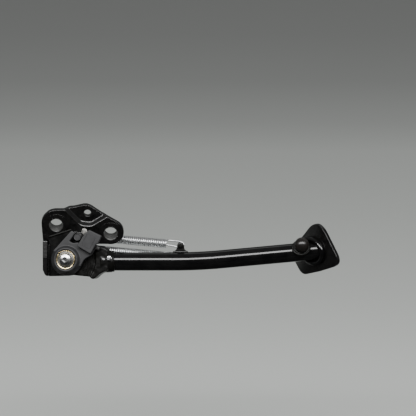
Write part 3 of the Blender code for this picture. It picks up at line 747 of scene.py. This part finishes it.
def make_yoke():
    forging = roughened(softened("leg_yoke", PIVOT, 0.6, 8), 5.0, 0.28, 1)
    piece("leg_yoke_forged", forging, PIVOT, CAST, "leg", "leg_yoke", sharp=60.0)
    around = [(48.3, TUBE_START.y + y, TUBE_START.z + z)
              for y, z, _ in circle(TUBE_R + 0.3, 0.0, 90)]
    bead("yoke_tube_weld", around, 0.9, LEG, "leg", closed=True)
    for k in range(TURNING_MARKS):
        radius = 20.5 + 2.6 * k
        arc = [Vector((radius * math.cos(math.radians(a)), radius * math.sin(math.radians(a)),
                       9.75)) for a in range(-38, 21, 2)]
        piece(f"yoke_turning_mark_{k + 1}", swept([mm(p) for p in arc], 0.45, 8), PIVOT, CAST,
              "leg", sharp=80.0)


def make_nipple():
    place = shifted(LEG, 43.5, 1.2)
    base = modified(prism(hexagon(3.1), 17.9, 20.6), place, bevel(0.3))
    piece("nipple_hexagon", base, place, SCREW_ZINC, "leg", "grease_nipple")
    tip = [(0.0, 20.4, 0.0), (2.0, 20.4, 0.3), (1.3, 21.7, 0.3), (1.9, 22.6, 0.4),
           (1.2, 23.3, 0.3), (0.6, 23.3, 0.1), (0.5, 22.9, 0.0), (0.0, 22.9, 0.0)]
    piece("nipple_tip", lathe(tip, 48), place, SCREW_ZINC, "leg")
    plug = [(0.0, 17.9, 0.0), (1.5, 17.9, 0.0), (1.5, 18.9, 0.3), (0.9, 19.5, 0.3),
            (0.0, 19.5, 0.0)]
    piece("yoke_plug_pressed", lathe(plug, 48), shifted(LEG, 37.6), SCREW_ZINC, "leg",
          "yoke_plug")


def make_posts():
    x, y, _ = SPRINGS["upper"][1]
    piece("hook_plate_cut", softened("spring_hook_plate", LEG, 0.3, 4), LEG, CAST, "leg",
          "spring_hook_plate")
    pin = [(0.0, -12.5, 0.0), (3.2, -12.5, 0.5), (3.2, -10.9, 0.3), (1.8, -10.7, 0.2),
           (1.8, 8.3, 0.0), (3.3, 8.3, 0.2), (3.3, 9.9, 0.7), (1.6, 10.5, 0.6), (0.0, 10.5, 0.0)]
    piece("upper_pin_turned", lathe(pin, 64), shifted(LEG, x, y), CAST, "leg",
          "upper_spring_pin")
    low = SPRINGS["lower"][1]
    stud = [(0.0, -12.5, 0.0), (3.2, -12.5, 0.5), (3.2, -10.9, 0.3), (1.8, -10.7, 0.2),
            (1.8, -8.0, 0.2), (2.6, -7.6, 0.3), (2.6, -3.4, 0.0), (0.0, -3.4, 0.0)]
    piece("lower_stud_turned", lathe(stud, 64), shifted(LEG, low.x, low.y), CAST, "leg",
          "lower_spring_stud")
    for name, z in (("front", 8.3), ("back", 3.4)):
        points = [(x + t, 8.3, z) for t in (-8.2, -4.0, 0.0, 4.0, 8.2)]
        bead(f"hook_plate_weld_{name}", points, 1.2, LEG, "leg", GLOSS)


WELD_HEIGHT = 2.4  # of the foot weld's centre line above the foot plate
WELD_OUT = 3.0  # of the same line from the tube's skin


def make_foot():
    outline = [(-19.8, -32.4, 12), (8.0, -21.5, 40), (41.0, -6.2, 11), (3.6, 38.6, 18),
               (-38.8, -10.9, 10)]
    plate = modified(prism(outline, -FOOT_THICK, 0.0, 14), FOOT, bevel(0.4, 50.0))
    piece("foot_plate_pressed", plate, FOOT, PLATE, "leg", "foot_plate")
    lean = FOOT.to_3x3().inverted() @ LEG.to_3x3() @ (TUBE_BEND - TUBE_END)
    lean = lean / lean.z
    around = [((TUBE_R / FOOT_SLOPE + WELD_OUT) * x + lean.x * WELD_HEIGHT,
               (TUBE_R + WELD_OUT) * y + lean.y * WELD_HEIGHT, WELD_HEIGHT)
              for x, y, _ in circle(1.0, 0.0, 200)]
    made = bead("foot_weld_bead", around, 2.9, FOOT, "leg", GLOSS, closed=True, ripple=0.012)
    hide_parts("foot_weld")


# The kick knob's ball: its radius and its centre's height above KNOB's origin.
BALL_R = 7.95
BALL_CENTRE = 17.2
BALL_STEPS = 16


def make_knob():
    ball = [(0.0, 11.0, 0.0), (4.4, 11.0, 0.0), (4.6, 12.4, 0.4)]
    for k in range(BALL_STEPS + 1):
        angle = math.radians(-42.0 + 132.0 * k / BALL_STEPS)
        radius = BALL_R * math.cos(angle) if k < BALL_STEPS else 0.0
        ball.append((radius, BALL_CENTRE + BALL_R * math.sin(angle), 0.0))
    piece("kick_knob_ball", lathe(ball), KNOB, KNOB_PAINT, "leg", "kick_knob")
    runs = [(8.3, 9.9, 1.5), (7.2, 11.2, 1.3), (5.9, 12.4, 1.1)]
    for k, (radius, height, size) in enumerate(runs):
        around = [(x * 1.08 - 0.35 * (13.0 - height), y, z)
                  for x, y, z in circle(radius, height, 90)]
        made = bead(f"knob_weld_{k + 1}", around, size, KNOB, "leg", closed=True, ripple=0.04)
        if k == 0:
            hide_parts("knob_collar")
    core = [(0.0, 8.6, 0.0), (8.2, 8.6, 0.0), (7.6, 11.0, 0.5), (5.6, 13.0, 0.5),
            (0.0, 13.0, 0.0)]
    piece("knob_weld_core", lathe(core, 64), KNOB, CAST, "leg")


# -------------------------------------------------------------------- springs

def spring_frame(side):
    """A frame at a spring's anchor, its Z along the spring."""
    anchor, post = SPRINGS[side][:2]
    return LEG @ frame_at(mm(anchor), (0.0, 0.0, 1.0), post - anchor)


def spring_route(length, first, last):
    """Centre line of one spring: eye, shank, coil, shank and eye, in millimetres. Its coil
    runs from first to last, and the far eye's free end comes back along the shank."""
    points = [Vector((0.0, 0.4, 16.0)), Vector((0.0, 1.6, 8.0))]
    for k in range(EYE_STEPS + 1):
        angle = math.radians(-60.0 - 210.0 * k / EYE_STEPS)
        points.append(Vector((0.0, -EYE_R * math.sin(angle), EYE_R * math.cos(angle))))
    points.append(Vector((0.0, -COIL_R, SHANK_GAP)))
    points.append(Vector((0.0, -COIL_R, first - SHANK_GAP)))
    for k in range(1, LEAD_STEPS):
        t = k / LEAD_STEPS
        angle = math.radians(-90.0 - 90.0 * t * t)
        points.append(Vector((COIL_R * math.cos(angle), COIL_R * math.sin(angle),
                              first - LEAD_IN * (1.0 - t) ** 1.5)))
    turns = round((last - first) / COIL_PITCH)
    steps = turns * STEPS_A_TURN
    for k in range(steps + 1):
        angle = math.radians(180.0) - (math.tau * turns - math.pi) * k / steps
        points.append(Vector((COIL_R * math.cos(angle), COIL_R * math.sin(angle),
                              first + (last - first) * k / steps)))
    for k in range(1, LEAD_STEPS):
        t = k / LEAD_STEPS
        angle = math.radians(-90.0 * (1.0 - (1.0 - t) ** 2))
        points.append(Vector((COIL_R * math.cos(angle), COIL_R * math.sin(angle),
                              last + LEAD_IN * t ** 1.5)))
    points.append(Vector((0.0, -COIL_R, last + SHANK_GAP)))
    points.append(Vector((0.0, -COIL_R, length - SHANK_GAP)))
    for k in range(EYE_STEPS + 1):
        angle = math.radians(-90.0 + 210.0 * k / EYE_STEPS)
        points.append(Vector((0.0, EYE_R * math.sin(angle), length + EYE_R * math.cos(angle))))
    points.append(Vector((0.0, 1.6, length - 7.0)))
    points.append(Vector((0.0, 1.1, last + 0.9)))
    return points


def make_springs():
    for side, (anchor, post, first, last) in SPRINGS.items():
        place = spring_frame(side)
        route = spring_route((post - anchor).length, first, last)
        mesh = swept([mm(p) for p in route], WIRE_R, 10)
        made = piece(side + "_spring_wire", mesh, place, ZINC, None, side + "_spring_coil",
                     side + "_spring_end_hook", sharp=80.0)
        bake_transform(made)


# ---------------------------------------------------------------------- stage

# Lengths here are in metres, apart from the sensor's width. The flag is a pair of cards.
SENSOR_MM = 36.0
CAMERA_ELEVATION = math.radians(25.0)
CAMERA_DISTANCE = 6.0
VIEW_WIDTH = 0.4493
TARGET = Vector((0.1342, 0.0070, 0.0151))
FLOOR_Z = -0.335
FLOOR_HALF = 6.0
FLAG_HALF = 2.5
FLAG_NEAR, FLAG_FAR = 0.12, -1.1
FLAG_LOW, FLAG_HIGH = FLOOR_Z + 0.01, 0.75


def make_stage():
    """The floor, whose grey darkens away from the camera: painted shade for the light falling off
    towards the back.
    """
    mesh = bpy.data.meshes.new("floor")
    mesh.from_pydata([(-FLOOR_HALF, -FLOOR_HALF, FLOOR_Z), (FLOOR_HALF, -FLOOR_HALF, FLOOR_Z),
                      (FLOOR_HALF, FLOOR_HALF, FLOOR_Z), (-FLOOR_HALF, FLOOR_HALF, FLOOR_Z)],
                     [], [(0, 1, 2, 3)])
    floor = in_scene("floor", mesh)
    n = Nodes("floor_grey_painted_falloff")
    axes = n.add("ShaderNodeSeparateXYZ")
    n.link(n.place, axes.inputs["Vector"])
    back = n.add("ShaderNodeMapRange", From_Min=0.2, From_Max=1.3)
    n.link(axes.outputs["Y"], back.inputs["Value"])
    # painted shade: the grey steps down towards the back in place of the light falling off
    colour = n.ramp(back.outputs["Result"], [
        (0.05, (0.535, 0.555, 0.535)), (0.29, (0.455, 0.472, 0.455)),
        (0.5, (0.41, 0.427, 0.41)), (0.66, (0.385, 0.40, 0.385)),
        (0.74, (0.31, 0.32, 0.31)), (0.86, (0.25, 0.257, 0.25)), (1.0, (0.23, 0.236, 0.23))])
    mesh.materials.append(n.finish(colour, Roughness=0.42))


def area_light(name, towards, distance, size, power):
    """A rectangular light in a direction from the target, its long side along X."""
    data = bpy.data.lights.new(name, "AREA")
    data.shape = "RECTANGLE"
    data.size, data.size_y = size
    data.energy = power
    away = Vector(towards).normalized()
    in_scene(name, data).matrix_world = frame_at(TARGET + away * distance, RIGHT, away)


def make_flag():
    """Black cards in front of the object that only reflections see, as in a studio."""
    mesh = bpy.data.meshes.new("studio_flag")
    rows = ((FLAG_NEAR, FLAG_LOW), (FLAG_FAR, FLAG_LOW), (FLAG_FAR, FLAG_HIGH))
    mesh.from_pydata([(x, y, z) for y, z in rows for x in (-FLAG_HALF, FLAG_HALF)], [],
                     [(0, 1, 3, 2), (2, 3, 5, 4)])
    flag = in_scene("studio_flag", mesh)
    n = Nodes("flag_black")
    colour = n.ramp(n.noise(50.0), [(0.0, (0.01, 0.01, 0.01)), (1.0, (0.012, 0.012, 0.012))])
    mesh.materials.append(n.finish(colour, Roughness=1.0))
    flag.visible_camera = False
    flag.visible_diffuse = False
    flag.visible_shadow = False


def make_light_and_camera():
    area_light("strip_light", (0.0, -0.60, 0.80), 1.5, (3.2, 0.44), 66.0)
    area_light("soft_back", (0.1, 0.75, 0.7), 1.8, (2.2, 0.5), 2.5)
    world = bpy.data.worlds.new("studio")
    world.use_nodes = True
    sky = world.node_tree.nodes["Background"]
    sky.inputs["Color"].default_value = (0.62, 0.63, 0.62, 1.0)
    sky.inputs["Strength"].default_value = 0.27
    bpy.context.scene.world = world
    data = bpy.data.cameras.new("camera")
    data.sensor_width = SENSOR_MM
    data.lens = SENSOR_MM * CAMERA_DISTANCE / VIEW_WIDTH
    camera = in_scene("camera", data)
    back = Vector((0.0, -math.cos(CAMERA_ELEVATION), math.sin(CAMERA_ELEVATION)))
    camera.location = TARGET + back * CAMERA_DISTANCE
    camera.rotation_euler = (-back).to_track_quat("-Z", "Y").to_euler()
    bpy.context.scene.camera = camera


make_light_and_camera()
make_stage()
make_flag()
make_bracket()
make_small_bracket_parts()
make_pivot()
make_switch()
make_tube()
make_yoke()
make_nipple()
make_posts()
make_foot()
make_knob()
make_springs()
